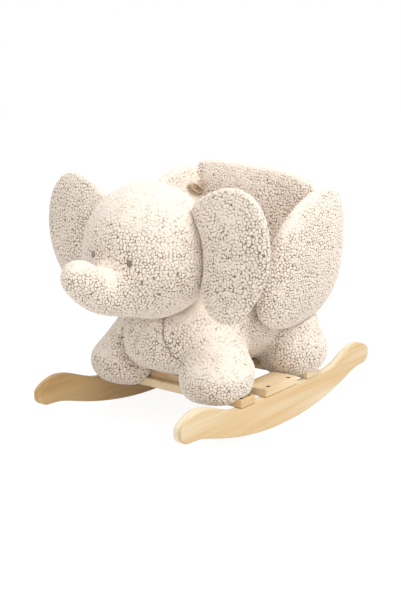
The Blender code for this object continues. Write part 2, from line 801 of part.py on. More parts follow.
def eye_mesh(side):
    """A small padded oval on the face."""
    x = EYE_SHIFT + side * EYE_SPREAD * math.cos(EYE_ROLL)
    z = EYE_HEIGHT - side * EYE_SPREAD * math.sin(EYE_ROLL)
    dx = x / HEAD_RADII.x
    dz = (z - HEAD_CENTRE.z) / HEAD_RADII.z
    y = HEAD_CENTRE.y - HEAD_RADII.y * math.sqrt(1 - dx * dx - dz * dz)
    centre = Vector((x, y, z))
    outward = Vector(
        (
            centre.x / HEAD_RADII.x**2,
            (y - HEAD_CENTRE.y) / HEAD_RADII.y**2,
            (z - HEAD_CENTRE.z) / HEAD_RADII.z**2,
        )
    ).normalized()
    turn = outward.to_track_quat("Z", "Y").to_matrix()

    def shape(p):
        return centre + turn @ Vector((p.x * EYE_HALF_WIDTH, p.y * EYE_HALF_HEIGHT, p.z * EYE_PROUD))

    return ball_mesh(8, 14, shape)


def surface_point(obj, start, direction):
    """Where a straight line first meets a piece, in the toy's own frame."""
    tree = BVHTree.FromPolygons([v.co for v in obj.data.vertices], [p.vertices for p in obj.data.polygons])
    return tree.ray_cast(start, direction)[0]


def make_strap_loop(name, wing, backrest, toy):
    """A ring of strap that stands in the crease where the wing meets the backrest.

    It lies along the wing's inner face, broad side across it, and its rear end is sewn in the crease.
    """
    out = Vector((0, -math.cos(LOOP_RISE), math.sin(LOOP_RISE)))
    across = Vector((0, math.sin(LOOP_RISE), math.cos(LOOP_RISE)))
    half = LOOP_LENGTH / 2
    y = BACKREST_Y - BACKREST_HALF_THICKNESS - half
    low = LOOP_HEIGHT - half * math.sin(LOOP_RISE) - LOOP_WIDTH / 2
    outward = Vector((-1, 0, 0))
    faces = [surface_point(wing, Vector((0, y + reach, low)), outward).x for reach in (-half, 0, half)]
    middle = Vector((max(faces) + LOOP_WING_GAP + LOOP_STRAP / 2, y, LOOP_HEIGHT))
    crease = surface_point(backrest, middle + Vector((LOOP_STRAP / 2, 0, 0)), -out)
    end_radius = LOOP_WIDTH**2 / LOOP_LENGTH / 2
    sewn_end = middle - out * ((middle - crease).dot(out) - LOOP_BACKREST_GAP)
    centre = sewn_end + out * half
    hinge = sewn_end + out * end_radius
    bm = bmesh.new()
    rows = []
    steps = 24
    for i in range(steps):
        a = math.tau * i / steps
        row = []
        for inset, shift in ((0, 1), (0, -1), (LOOP_STRAP_THICKNESS, -1), (LOOP_STRAP_THICKNESS, 1)):
            along = out * (half - inset) * math.cos(a)
            beside = across * (LOOP_WIDTH / 2 - inset) * math.sin(a)
            row.append(bm.verts.new(centre + along + beside + Vector((shift * LOOP_STRAP / 2, 0, 0))))
        rows.append(row)
    for i in range(steps):
        first = rows[i]
        second = rows[(i + 1) % steps]
        for j in range(4):
            k = (j + 1) % 4
            bm.faces.new((first[j], first[k], second[k], second[j]))
    return place(name, bm, STRAP, toy, hinge)


def make_wood(toy):
    """The rockers, slats and boards, by name."""
    wood = {}
    for word, side in SIDES:
        wood["rocker_" + word] = make_rocker("rocker_" + word, side, toy)
        wood["footrest_" + word] = make_footrest("footrest_" + word, side, toy)
    wood["front_crossbar"] = make_crossbar("front_crossbar", FRONT_CROSSBAR_Y, toy)
    wood["rear_crossbar"] = make_crossbar("rear_crossbar", REAR_CROSSBAR_Y, toy)
    for name, (low, high) in BOARDS.items():
        wood[name] = place(name, box_mesh(low, high), PLYWOOD, toy)
    return wood


def make_screws(wood, toy):
    """Every screw, and its hole in the two pieces that it joins."""
    down = Vector((0, 0, -1))
    up = Vector((0, 0, 1))
    back = Vector((0, 1, 0))
    through_boards = PLY_THICKNESS * 2 - 2 * MM
    ends = (("front", FRONT_CROSSBAR_Y, FRONT_UPRIGHT_Y), ("rear", REAR_CROSSBAR_Y, REAR_UPRIGHT_Y))
    for word, side in SIDES:
        rocker = wood["rocker_" + word]
        footrest = wood["footrest_" + word]
        for end, y, upright_y in ends:
            crossbar = wood[end + "_crossbar"]
            upright = wood[end + "_upright"]
            for number, offset in ((1, -CROSSBAR_SCREW_SPREAD), (2, CROSSBAR_SCREW_SPREAD)):
                face = Vector((side * ROCKER_X, y + offset, SLAT_TOP))
                name = f"{end}_crossbar_screw_{word}_{number}"
                make_screw(name, face, down, SLAT_SCREW_LENGTH, (crossbar, rocker), toy)
            face = Vector((side * BASE_SCREW_X, y, BASE_TOP))
            holders = (wood["base_board"], crossbar)
            make_screw(f"base_screw_{end}_{word}", face, down, BASE_SCREW_LENGTH, holders, toy, 8)
            face = Vector((side * UPRIGHT_SCREW_X, upright_y, BASE_BOTTOM))
            holders = (wood["base_board"], upright)
            make_screw(f"upright_screw_{end}_{word}", face, up, FRAME_SCREW_LENGTH, holders, toy, 8)
            face = Vector((side * SEAT_SCREW_X, upright_y, SEAT_BOARD_TOP))
            holders = (wood["seat_board"], upright)
            make_screw(f"seat_screw_{end}_{word}", face, down, FRAME_SCREW_LENGTH, holders, toy, 8)
        for number, offset in ((1, -1), (2, 1)):
            y = FOOTREST_Y + offset * (FOOTREST_LENGTH / 2 - FOOTREST_SCREW_INSET)
            face = Vector((side * ROCKER_X, y, SLAT_TOP))
            holders = (footrest, rocker)
            make_screw(f"footrest_screw_{word}_{number}", face, down, SLAT_SCREW_LENGTH, holders, toy)
        face = Vector((side * NECK_SCREW_X, BOARDS["neck_board"][0].y, FRAME_SCREW_HEIGHT))
        holders = (wood["neck_board"], wood["front_upright"])
        make_screw("neck_screw_" + word, face, back, through_boards, holders, toy, 8)
        face = Vector((side * BACK_SCREW_X, BOARDS["back_board"][1].y, FRAME_SCREW_HEIGHT))
        holders = (wood["back_board"], wood["rear_upright"])
        make_screw("back_screw_" + word, face, -back, through_boards, holders, toy, 8)


def make_plush(toy):
    """The stuffed pieces, each cut by the larger ones that it meets."""
    plush = {"body": place("body", body_mesh(), FLEECE, toy)}
    plush["head"] = place("head", head_mesh(), FLEECE, toy)
    plush["trunk"] = place("trunk", trunk_mesh(), FLEECE, toy)
    plush["backrest"] = place("backrest", backrest_mesh(), FLEECE, toy)
    plush["seat_pad"] = place("seat_pad", seat_pad_mesh(), FLEECE, toy)
    for word, side in SIDES:
        plush["wing_" + word] = place("wing_" + word, wing_mesh(side), FLEECE, toy)
        front = leg_mesh(side, FRONT_FOOT, FRONT_HIP, 1.0, FRONT_HIP_SPREAD, FRONT_LEG_LEAN_BACK)
        rear = leg_mesh(side, REAR_FOOT, REAR_HIP, REAR_FOOT_LENGTHENING, 0.0, REAR_LEG_LEAN_FORWARD)
        seam = (side * EAR_AXIS_X, EAR_Y, 0)
        plush["front_leg_" + word] = place("front_leg_" + word, front, FLEECE, toy)
        plush["rear_leg_" + word] = place("rear_leg_" + word, rear, FLEECE, toy)
        plush["ear_" + word] = place("ear_" + word, ear_mesh(side), FLEECE, toy, seam)
        plush["eye_" + word] = place("eye_" + word, eye_mesh(side), STITCHING, toy)
    by_body = as_cutter(plush["body"])
    by_head = as_cutter(plush["head"])
    by_backrest = as_cutter(plush["backrest"])
    by_seat_pad = as_cutter(plush["seat_pad"])
    pockets = {name: box_cutter("pocket_of_" + name, low, high, toy) for name, (low, high) in BOARDS.items()}
    bars = {}
    for end, y in (("front", FRONT_CROSSBAR_Y), ("rear", REAR_CROSSBAR_Y)):
        low = (-OUTER_HALF_WIDTH, y - CROSSBAR_WIDTH / 2, SLAT_BOTTOM)
        high = (OUTER_HALF_WIDTH, y + CROSSBAR_WIDTH / 2, SLAT_TOP)
        bars[end] = box_cutter("room_for_" + end + "_crossbar", low, high, toy)
    cut(plush["body"], *pockets.values())
    cut(plush["head"], by_body, pockets["neck_board"])
    cut(plush["trunk"], by_head, by_body)
    cut(plush["backrest"], by_body, pockets["back_board"])
    cut(plush["seat_pad"], by_body, by_backrest)
    for word, side in SIDES:
        by_wing = as_cutter(plush["wing_" + word])
        cut(plush["wing_" + word], by_body, by_backrest)
        by_base = pockets["base_board"]
        cut(plush["front_leg_" + word], by_body, by_wing, bars["front"], by_base, pockets["front_upright"])
        cut(plush["rear_leg_" + word], by_body, by_wing, by_backrest, by_seat_pad, bars["rear"], by_base)
        cut(plush["rear_leg_" + word], pockets["rear_upright"], pockets["back_board"])
        cut(plush["seat_pad"], by_wing)
        cut(plush["eye_" + word], by_head)
    plush["strap_loop"] = make_strap_loop("strap_loop", plush["wing_right"], plush["backrest"], toy)
    return plush


def main():
    clear_scene()
    toy = bpy.data.objects.new("toy", None)
    bpy.context.scene.collection.objects.link(toy)
    toy.location = (0, ORIGIN_SHIFT, 0)
    wood = make_wood(toy)
    make_screws(wood, toy)
    make_plush(toy)


main()
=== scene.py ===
# %% [markdown]
# # A plush rocking elephant
# The toy is a soft elephant with a padded seat on two wooden rockers. The packed
# model gives every piece its place and size. This script gives the pieces their
# looks: curly teddy fleece over stuffing, pale wood with a long grain, dark screws,
# a webbing loop and stitched eyes.

import json
import math

import bmesh
import bpy
import numpy as np
from mathutils import Matrix, Vector
from mathutils.bvhtree import BVHTree
from mathutils.kdtree import KDTree


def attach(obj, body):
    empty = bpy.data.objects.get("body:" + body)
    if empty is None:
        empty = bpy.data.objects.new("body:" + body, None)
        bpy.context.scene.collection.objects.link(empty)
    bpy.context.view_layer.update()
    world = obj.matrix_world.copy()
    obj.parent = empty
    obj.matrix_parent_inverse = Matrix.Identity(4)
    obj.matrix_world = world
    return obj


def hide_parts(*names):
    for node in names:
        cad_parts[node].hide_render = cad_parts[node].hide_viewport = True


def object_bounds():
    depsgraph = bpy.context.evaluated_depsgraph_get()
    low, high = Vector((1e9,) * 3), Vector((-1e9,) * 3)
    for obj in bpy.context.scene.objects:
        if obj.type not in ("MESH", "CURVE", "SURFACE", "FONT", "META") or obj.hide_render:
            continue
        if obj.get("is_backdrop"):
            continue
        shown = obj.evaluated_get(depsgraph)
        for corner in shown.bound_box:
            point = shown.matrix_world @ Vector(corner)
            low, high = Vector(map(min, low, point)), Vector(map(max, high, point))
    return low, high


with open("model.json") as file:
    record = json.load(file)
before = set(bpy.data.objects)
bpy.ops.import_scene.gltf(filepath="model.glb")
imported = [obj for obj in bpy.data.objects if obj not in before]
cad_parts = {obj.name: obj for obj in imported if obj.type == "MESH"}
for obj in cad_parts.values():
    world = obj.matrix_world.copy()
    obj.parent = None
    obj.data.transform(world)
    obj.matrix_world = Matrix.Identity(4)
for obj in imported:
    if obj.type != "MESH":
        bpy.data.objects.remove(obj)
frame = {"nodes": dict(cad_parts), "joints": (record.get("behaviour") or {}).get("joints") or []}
cad_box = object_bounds()
nodes = frame["nodes"]
scene = bpy.context.scene
MM = 0.001
print("pieces in the packed model:", len(nodes))

# %% [markdown]
# ## The view
# A photograph of a toy this small is taken from a few steps away with a medium lens,
# a little above the toy's back. The camera's place and tilt were found by laying the
# outlines of the rockers over the photograph until they matched.

# %% Camera
CAMERA_PLACE = (0.94815, -1.24285, 0.53731)
CAMERA_TILT = math.radians(77.663)
CAMERA_TURN = math.radians(37.45)
CAMERA_LENS = 55.734
camera_data = bpy.data.cameras.new("camera")
camera_data.lens = CAMERA_LENS
camera_data.sensor_width = 36
camera = bpy.data.objects.new("camera", camera_data)
camera.location = CAMERA_PLACE
camera.rotation_euler = (CAMERA_TILT, 0, CAMERA_TURN)
scene.collection.objects.link(camera)
scene.camera = camera
scene.view_settings.view_transform = "Standard"
print("camera at", CAMERA_PLACE)

# %% [markdown]
# ## Light
# Fleece looks soft under broad light. One large lamp hangs high on the near side, a weaker
# one fills the front, and a pale world fills the rest. Their levels add up to about one,
# so a colour renders about as it is written.


# %% Lamps
def lamp(name, place, target, width, watts):
    data = bpy.data.lights.new(name, "AREA")
    data.shape = "DISK"
    data.size = width
    data.energy = watts
    made = bpy.data.objects.new(name, data)
    made.location = place
    made.rotation_euler = (Vector(target) - Vector(place)).to_track_quat("-Z", "Y").to_euler()
    scene.collection.objects.link(made)
    print("lamp", name, watts, "W")


MIDDLE = (0, 0, 0.2)
lamp("key_lamp", (1.5, 0.2, 2.7), MIDDLE, width=1.8, watts=63)
lamp("front_lamp", (0.9, -2.5, 1.7), MIDDLE, width=2.2, watts=15)

# %% [markdown]
# ## Writing materials as sums
# A material is a net of nodes. Written one node at a time it is long and hard to read,
# so a small class wraps an output socket, and plain Python sums on it add Math nodes.


# %% A small language for materials
class Wire:
    """One output socket in a material."""

    def __init__(self, paint, socket):
        self.paint = paint
        self.socket = socket

    def __add__(self, other):
        return self.paint.maths("ADD", self, other)

    def __radd__(self, other):
        return self.paint.maths("ADD", other, self)

    def __sub__(self, other):
        return self.paint.maths("SUBTRACT", self, other)

    def __rsub__(self, other):
        return self.paint.maths("SUBTRACT", other, self)

    def __mul__(self, other):
        return self.paint.maths("MULTIPLY", self, other)

    def __rmul__(self, other):
        return self.paint.maths("MULTIPLY", other, self)


class Paint:
    """A material under construction."""

    def __init__(self, name, roughness, **constants):
        self.material = bpy.data.materials.new(name)
        self.material.use_nodes = True
        self.tree = self.material.node_tree
        self.shader = self.tree.nodes["Principled BSDF"]
        self.shader.inputs["Roughness"].default_value = roughness
        for socket, value in constants.items():
            self.shader.inputs[socket.replace("_", " ")].default_value = value

    def node(self, kind, settings, out, *by_place, **by_name):
        """A node of that kind: its settings first, then what its sockets hold or are fed by."""
        made = self.tree.nodes.new("ShaderNode" + kind)
        for name, value in settings.items():
            setattr(made, name, value)
        filled = [(made.inputs[i], value) for i, value in enumerate(by_place)]
        filled += [(made.inputs[name.replace("_", " ")], value) for name, value in by_name.items()]
        for socket, value in filled:
            self.feed(socket, value)
        return Wire(self, made.outputs[out])

    def feed(self, socket, value):
        if isinstance(value, Wire):
            self.tree.links.new(value.socket, socket)
        else:
            socket.default_value = value

    def maths(self, operation, *values):
        return self.node("Math", {"operation": operation}, 0, *values)

    def mix(self, share, first, second):
        """A colour between two, with the share of the second."""
        made = self.tree.nodes.new("ShaderNodeMix")
        made.data_type = "RGBA"
        for place, value in ((0, share), (6, first), (7, second)):
            if not isinstance(value, Wire) and place != 0:
                value = (*value, 1)
            self.feed(made.inputs[place], value)
        return Wire(self, made.outputs[2])

    def place(self, scale, turn=(0, 0, 0), shift=(0, 0, 0)):
        """The surface's own place on the object, scaled by direction."""
        found = self.node("TexCoord", {}, "Object")
        return self.node("Mapping", {}, 0, Vector=found, Scale=scale, Rotation=turn, Location=shift)

    def noise(self, where, scale, detail=2.0, rough=0.5):
        return self.node(
            "TexNoise", {}, "Fac", Vector=where, Scale=scale, Detail=detail, Roughness=rough
        )

    def ramp(self, value, low, high):
        """0 below the low value, 1 above the high one, and smooth between them."""
        settings = {"interpolation_type": "SMOOTHSTEP"}
        return self.node("MapRange", settings, 0, value, low, high, 0.0, 1.0)

    def bump(self, height, distance, strength=1.0):
        made = self.node("Bump", {}, 0, Height=height, Distance=distance, Strength=strength)
        self.feed(self.shader.inputs["Normal"], made)

    def set(self, socket, value):
        self.feed(self.shader.inputs[socket], value)


# %% [markdown]
# ## Floor and background
# The toy stands on a plain white floor. To the camera the floor is almost white by its own
# light, and a part of it stays a plain diffuse surface, which keeps the toy's soft shadow.

# %% Floor and world
FLOOR_RADIUS = 30
FLOOR_OWN_WHITE = 0.82
FLOOR_GLOW = 1.12
WORLD_LIGHT = 0.70
floor_mesh = bmesh.new()
bmesh.ops.create_circle(floor_mesh, cap_ends=True, segments=64, radius=FLOOR_RADIUS)
floor_data = bpy.data.meshes.new("floor")
floor_mesh.to_mesh(floor_data)
floor_mesh.free()
floor = bpy.data.objects.new("floor", floor_data)
scene.collection.objects.link(floor)
floor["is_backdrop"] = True


def seen_straight(paint):
    """1 where a ray comes from the camera, a gloss or glass, and 0 in plain light."""
    kinds = ("Camera", "Glossy", "Transmission")
    found = [paint.node("LightPath", {}, "Is " + kind + " Ray") for kind in kinds]
    return paint.maths("MINIMUM", found[0] + found[1] + found[2], 1.0)


ground = Paint("pale_floor", 0.9)
ground.set("Base Color", (0.86, 0.86, 0.86, 1))
own_light = ground.node("Emission", {}, 0, Color=(1, 1, 1, 1), Strength=FLOOR_GLOW)
plain = Wire(ground, ground.shader.outputs[0])
mixed = ground.node("MixShader", {}, 0, seen_straight(ground) * FLOOR_OWN_WHITE, plain, own_light)
output = ground.tree.nodes["Material Output"]
ground.feed(output.inputs["Surface"], mixed)
floor.data.materials.append(ground.material)

world = bpy.data.worlds.new("studio")
world.use_nodes = True
scene.world = world


class Sky(Paint):
    """The world's node tree, written like a material."""

    def __init__(self, made):
        self.tree = made.node_tree
        self.shader = made.node_tree.nodes["Background"]


sky = Sky(world)
sky.set("Color", (1, 1, 1, 1))
sky.set("Strength", WORLD_LIGHT + seen_straight(sky) * (1.0 - WORLD_LIGHT))
print("floor radius", FLOOR_RADIUS, "m")

# %% [markdown]
# ## Wood
# Rockers, crossbars and footrests are pale pine with a clear matt lacquer. The grain runs
# along each board: faint long streaks, a little darker in the late wood, and finer pores.
# The pattern is noise stretched along the board, read from the object's own place, so it
# runs through the board and shows as rings on the ends. The right rocker is painted darker
# and more orange all over: painted shade, for the shadow on its inner face. The boards inside are ply.

# %% Wood material
GRAIN_TURN = {"x": (0, 0, math.radians(90)), "y": (0, 0, 0)}


def wood(name, along, pale, late, roughness=0.5, ring=26.0, seed=0.0):
    """Boards whose grain runs along that axis."""
    paint = Paint(name, roughness)
    turn = GRAIN_TURN[along]
    shift = (seed, seed * 0.7, seed * 1.3)
    long_way = paint.place((9, 0.55, 9), turn, shift)
    sway = paint.noise(long_way, 1.3, 2.0)
    rings = paint.node(
        "TexWave",
        {"wave_type": "BANDS", "bands_direction": "X", "wave_profile": "SIN"},
        "Fac",
        Vector=long_way,
        Scale=ring * 0.06,
        Distortion=5.0,
        Detail=2.0,
        Detail_Scale=1.2,
    )
    streak = paint.noise(paint.place((220, 5, 220), turn, shift), 1.0, 3.0, 0.6)
    pores = paint.noise(paint.place((1500, 45, 1500), turn, shift), 1.0, 2.0, 0.7)
    dark = paint.ramp(rings * 0.6 + sway * 0.5, 0.35, 0.95)
    lines = paint.ramp(streak, 0.45, 0.75)
    tint = paint.mix(dark * 0.85 + lines * 0.35, pale, late)
    tint = paint.mix(paint.ramp(pores, 0.58, 0.8) * 0.28, tint, tuple(c * 0.72 for c in late))
    paint.set("Base Color", tint)
    paint.set("Roughness", streak * 0.2 + (roughness - 0.1))
    paint.bump(streak * 0.5 + pores, 0.00012, 0.35)
    return paint.material


PINE = (0.76, 0.68, 0.50)
PINE_LATE = (0.62, 0.42, 0.20)
pine_rocker = wood("pine_rocker", "y", PINE, PINE_LATE, seed=0.3)
# painted shade: the right rocker's pine is darker and more orange, for the shadow on its inner face
pine_painted_shade = wood("pine_painted_shade", "y", (0.67, 0.46, 0.22), (0.50, 0.29, 0.10), seed=2.6)
pine_slat = wood("pine_slat", "x", (0.75, 0.60, 0.39), (0.60, 0.40, 0.19), seed=1.9)
birch_ply = wood("birch_ply", "x", (0.72, 0.54, 0.34), (0.56, 0.37, 0.20), roughness=0.6, seed=4.1)


def finish(names, material):
    """Gives CAD pieces a material in place of their plain one."""
    for name in names:
        for slot in nodes[name].material_slots:
            slot.material = material
    print(len(names), "pieces in", material.name)


finish(["rocker_left"], pine_rocker)
# the right rocker gets the pine with painted shade
finish(["rocker_right"], pine_painted_shade)
finish(["front_crossbar", "rear_crossbar", "footrest_left", "footrest_right"], pine_slat)
BOARDS = ["base_board", "front_upright", "rear_upright", "seat_board", "neck_board", "back_board"]
finish(BOARDS, birch_ply)

# %% [markdown]
# ## Screws
# The screws are dark steel with a thin black finish, worn to grey in small random patches.

# %% Screw material
steel = Paint("dark_steel", 0.4, Metallic=1.0)
rub = steel.noise(steel.place((1, 1, 1)), 420.0, 3.0)
steel.set("Base Color", steel.mix(steel.ramp(rub, 0.45, 0.7), (0.05, 0.045, 0.04), (0.16, 0.145, 0.13)))
steel.set("Roughness", rub * 0.3 + 0.3)
finish([name for name in nodes if "screw" in name], steel.material)

# %% [markdown]
# ## Fleece
# Teddy fleece is a pile of short curls. From a step away it reads as small round nubs about
# five millimetres apart with narrow shaded gaps between them. The nubs are real geometry
# here, and their height is kept on the mesh as the attribute "nap". The material paints
# shade into the gaps by that height, darker and warmer, on top of the real shade of the
# relief, and a finer noise adds the single curls.

# %% Fleece material
def fleece(name, top, gap):
    paint = Paint(name, 0.95, Sheen_Weight=0.35, Sheen_Roughness=0.5)
    nap = paint.node("Attribute", {"attribute_name": "nap"}, "Fac")
    here = paint.place((1, 1, 1))
    fibre = paint.noise(here, 1100.0, 2.0, 0.6)
    # painted shade: the lower the pile, the more the colour turns to the painted gap shade
    shade = 1.0 - paint.ramp(nap + fibre * 0.14, 0.16, 0.88)
    patch = paint.noise(here, 22.0, 2.0)
    tint = paint.mix(paint.ramp(patch, 0.35, 0.7) * 0.3, top, tuple(c * 0.94 for c in top))
    paint.set("Base Color", paint.mix(shade, tint, gap))
    paint.bump(nap * 0.8 + fibre * 0.4, 0.001, 0.6)
    return paint.material


CREAM = (0.85, 0.742, 0.64)
# the colour of the painted shade in the gaps between the nubs
CREAM_GAP_SHADE = (0.25, 0.18, 0.12)
cream_fleece = fleece("cream_fleece", CREAM, CREAM_GAP_SHADE)
print("fleece colour", CREAM)

# %% [markdown]
# ## Stuffing
# The skin of a plush toy is sewn from panels and stuffed hard, so it swells between its
# seams and runs smoothly over them. Pieces that are sewn smoothly to each other form a
# group and get one common net. In the end the net is cut apart along the sewn borders.

# %% Groups of sewn pieces
# The first member of a group is its base. Each other one has the reach of its soft crease.
GROUPS = {
    "plush_head": {"head": 0, "trunk": 34},
    "plush_body": {
        "body": 0,
        "front_leg_left": 30,
        "front_leg_right": 30,
        "rear_leg_left": 12,
        "rear_leg_right": 12,
    },
    "plush_ear_left": {"ear_left": 0},
    "plush_ear_right": {"ear_right": 0},
    "plush_wing_left": {"wing_left": 0},
    "plush_backrest": {"backrest": 0, "wing_right": 10},
    "plush_seat_pad": {"seat_pad": 0},
}
BODY_OF = {"plush_ear_left": "left_ear", "plush_ear_right": "right_ear"}
MOVING_NODE = {"left_ear": "ear_left", "right_ear": "ear_right", "strap_loop": "strap_loop"}
print("groups of sewn pieces:", len(GROUPS))

# %% [markdown]
# ### Tables of a net
# A net has tens of thousands of points. Their places, normals and other values are read
# into tables of numbers, so that a step on all points is a single sum.

# %% Reading and writing a net
def points_of(mesh):
    found = np.empty(len(mesh.vertices) * 3)
    mesh.vertices.foreach_get("co", found)
    return found.reshape(-1, 3)


def normals_of(mesh):
    found = np.empty(len(mesh.vertices) * 3)
    mesh.vertex_normals.foreach_get("vector", found)
    return found.reshape(-1, 3)


def edges_of(mesh):
    found = np.empty(len(mesh.edges) * 2, np.int64)
    mesh.edges.foreach_get("vertices", found)
    return found.reshape(-1, 2)


def values_of(mesh, name):
    found = np.empty(len(mesh.vertices), np.float32)
    mesh.attributes[name].data.foreach_get("value", found)
    return found.astype(float)


def keep_values(mesh, name, values):
    kept = mesh.attributes.new(name, "FLOAT", "POINT")
    kept.data.foreach_set("value", values.astype(np.float32))


def settle(piece):
    """Applies the modifiers of a piece."""
    seen = piece.evaluated_get(bpy.context.evaluated_depsgraph_get())
    data = bpy.data.meshes.new_from_object(seen)
    piece.modifiers.clear()
    old = piece.data
    piece.data = data
    bpy.data.meshes.remove(old)
    data.name = piece.name


# %% [markdown]
# ### One net for each group
# The CAD solids of a group are copied, and each is grown by a hair, so that they meet. A
# voxel remesh then puts one even net of faces round them all. Moving each point towards
# its neighbours rounds a sharp crease off, as the stuffing inside does.

# %% Net and smoothing
VOXEL = 4.6 * MM
JOIN = 0.5 * MM
WELD = 0.01 * MM


def net_round(name, members):
    """One even net of faces round copies of the CAD solids of a group."""
    joined = bmesh.new()
    for node in members:
        work = bmesh.new()
        work.from_mesh(nodes[node].data)
        bmesh.ops.remove_doubles(work, verts=work.verts, dist=WELD)
        if len(members) > 1:
            work.normal_update()
            for vertex in work.verts:
                vertex.co += vertex.normal * JOIN
        copied = bpy.data.meshes.new(name)
        work.to_mesh(copied)
        work.free()
        joined.from_mesh(copied)
        bpy.data.meshes.remove(copied)
    data = bpy.data.meshes.new(name)
    joined.to_mesh(data)
    joined.free()
    piece = bpy.data.objects.new(name, data)
    scene.collection.objects.link(piece)
    remesh = piece.modifiers.new("net", "REMESH")
    remesh.mode = "VOXEL"
    remesh.voxel_size = VOXEL
    settle(piece)
    return piece


def relax(points, edges, weight, rounds):
    """Moves each point towards the middle of its neighbours, as far as its weight says."""
    count = np.bincount(edges.ravel(), minlength=len(points))[:, None]
    for _ in range(rounds):
        total = np.zeros_like(points)
        for one, other in ((0, 1), (1, 0)):
            for axis in range(points.shape[1]):
                values = points[edges[:, other], axis]
                total[:, axis] += np.bincount(edges[:, one], weights=values, minlength=len(points))
        points = points + weight[:, None] * 0.5 * (total / np.maximum(count, 1) - points)
    return points


# %% [markdown]
# ### Room to the neighbours
# Fleece can't pass through fleece. The distance from each point to all other pieces is
# measured at rest, and to the pieces of other bodies also with the ears and the loop swung
# to both ends of their joints. Half of the least one, less a hair, is free for swelling
# and pile.

# %% Distances
NEIGHBOUR_REACH = 16 * MM
KEEP_OFF = 0.12 * MM


def tree_of(names):
    """The faces of some CAD solids, sorted by place."""
    vertices = []
    faces = []
    for name in names:
        start = len(vertices)
        vertices += [v.co for v in nodes[name].data.vertices]
        faces += [[start + i for i in face.vertices] for face in nodes[name].data.polygons]
    return BVHTree.FromPolygons(vertices, faces)


def distances(points, tree, reach=NEIGHBOUR_REACH):
    found = np.full(len(points), reach)
    for i, point in enumerate(points):
        near = tree.find_nearest(point, reach)
        if near[3] is not None:
            found[i] = near[3]
    return found


def swung(points, joint, degrees):
    """The points after a turn round the axis of a joint."""
    turn = np.array(Matrix.Rotation(math.radians(degrees), 3, Vector(joint["axis"])))
    pivot = np.array(joint["pos_m"])
    return (points - pivot) @ turn.T + pivot


def room_when_moving(name, points):
    """Distance to the solids of other bodies while the ears and the loop are at their ends."""
    body = BODY_OF.get(name, "toy")
    least = np.full(len(points), NEIGHBOUR_REACH)
    for joint in frame["joints"]:
        moves = joint["child"] == body
        moving = MOVING_NODE[joint["child"]]
        tree = tree_of([node for node in nodes if (node == moving) != moves])
        for degrees in joint["range_deg"]:
            turned = swung(points, joint, degrees if moves else -degrees)
            least = np.minimum(least, distances(turned, tree))
    return least


# %% [markdown]
# ### Soft creases
# Trunk and head, front legs and flanks, and the right wing and the backrest run into each
# other softly. The nearer a point is to both pieces, the more it is relaxed. The inner side
# of a front leg keeps its crease, and so does its front, where the belly meets it.

# %% Nets with soft creases, and their room
SOFT_REACH = 40 * MM
WIDE_CREASE = 20 * MM
WIDE_ROUNDS = 50
NARROW_ROUNDS = 14
INNER_CREASE = 62 * MM
INNER_FADE = 18 * MM
FRONT_FOLD = -78 * MM
FRONT_FADE = 24 * MM
KEPT_IN_FRONT = {"front_leg_left": 0.5, "front_leg_right": 0.95}


def crease_weight(node, points, farther):
    """How far each point of a group is relaxed, for the crease of one sewn-on piece."""
    weight = np.clip(1.3 - farther / (members[node] * MM), 0, 1)
    if node in KEPT_IN_FRONT:
        weight *= np.clip((np.abs(points[:, 0]) - INNER_CREASE) / INNER_FADE, 0, 1)
        in_front = np.clip((FRONT_FOLD - points[:, 1]) / FRONT_FADE, 0, 1)
        weight *= 1 - in_front * KEPT_IN_FRONT[node]
    return weight


rest = {}
rooms = {}
pieces = {}
for name, members in GROUPS.items():
    piece = pieces[name] = net_round(name, members)
    points = points_of(piece.data)
    edges = edges_of(piece.data)
    points = relax(points, edges, np.full(len(points), 0.6), 2)
    base, *others = members
    if others:
        to_base = distances(points, tree_of([base]), SOFT_REACH)
        for node in others:
            to_node = distances(points, tree_of([node]), SOFT_REACH)
            keep_values(piece.data, "of_" + node, (to_node < to_base) * 1.0)
            weight = crease_weight(node, points, np.maximum(to_base, to_node))
            rounds = WIDE_ROUNDS if members[node] * MM > WIDE_CREASE else NARROW_ROUNDS
            points = relax(points, edges, weight, rounds)
    piece.data.vertices.foreach_set("co", points.ravel())
    rest[name] = points
    around = tree_of([other for other in nodes if other not in members])
    near = np.minimum(distances(points, around), room_when_moving(name, points))
    rooms[name] = np.maximum(near / 2 - KEEP_OFF, 0)
    print(name, len(points), "points in its net")

# %% [markdown]
# ### Pressure
# Each net is a cloth for a short while, with air pressure inside and no gravity. Of its
# motion, only the broad swelling outwards is kept, within its caps and its room. Fine
# wrinkles are left out, because stiff pile hides them. What is left of the room is spare
# for the nubs.

# %% Blow the pieces up
PRESSURE = 4
STUFFING_FRAMES = 20
CLOTH_QUALITY = 4
SWELL_CAP = 5.0 * MM
SINK_CAP = 0.5 * MM
WRINKLE_ROUNDS = 30

